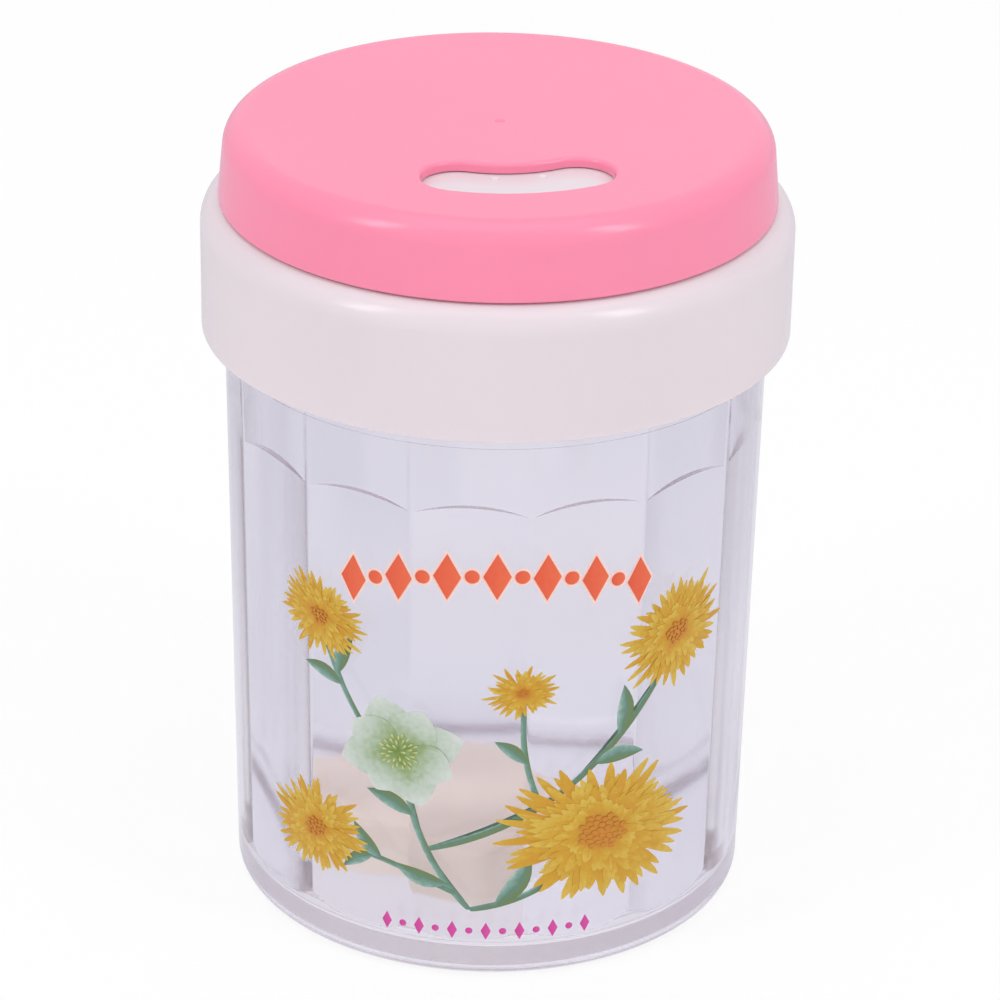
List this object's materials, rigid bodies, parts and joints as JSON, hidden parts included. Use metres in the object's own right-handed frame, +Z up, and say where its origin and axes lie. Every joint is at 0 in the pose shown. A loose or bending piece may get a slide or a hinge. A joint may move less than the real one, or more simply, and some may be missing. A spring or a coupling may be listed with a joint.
{
  "type": "toothpick dispenser",
  "caption": "Clear toothpick jar with flats moulded inside its wall, a white push-on lid, and a pink cap that turns to line its kidney slot up with the slot in the lid.",
  "frame": {"origin": "middle of the jar's foot ring, on the surface that it stands on", "axes": "+Z up along the axis of the jar, lid and cap; -Y towards the printed front; +X to the right seen from the front"},
  "size_m": [0.0662, 0.0662, 0.0923],
  "materials": {
    "clear_jar": "clear, glossy, moulded",
    "white_lid": "soft gloss, slightly translucent white",
    "pink_cap": "glossy pink",
    "cream_block": "matt cream, fine closed cells",
    "printed_film": "thin printed film on the jar's front"
  },
  "bodies": {
    "jar": {"jar": "clear_jar", "loose_block": "cream_block"},
    "lid": {"lid": "white_lid"},
    "cap": {"cap": "pink_cap"}
  },
  "joints": [
    {"name": "lid_lift", "type": "slide", "parent": "jar", "child": "lid", "axis": [0, 0, 1], "range_m": [0, 0.05]},
    {"name": "cap_turn", "type": "hinge", "parent": "lid", "child": "cap", "pos_m": [0, 0, 0.0917], "axis": [0, 0, 1], "continuous": true}
  ]
}
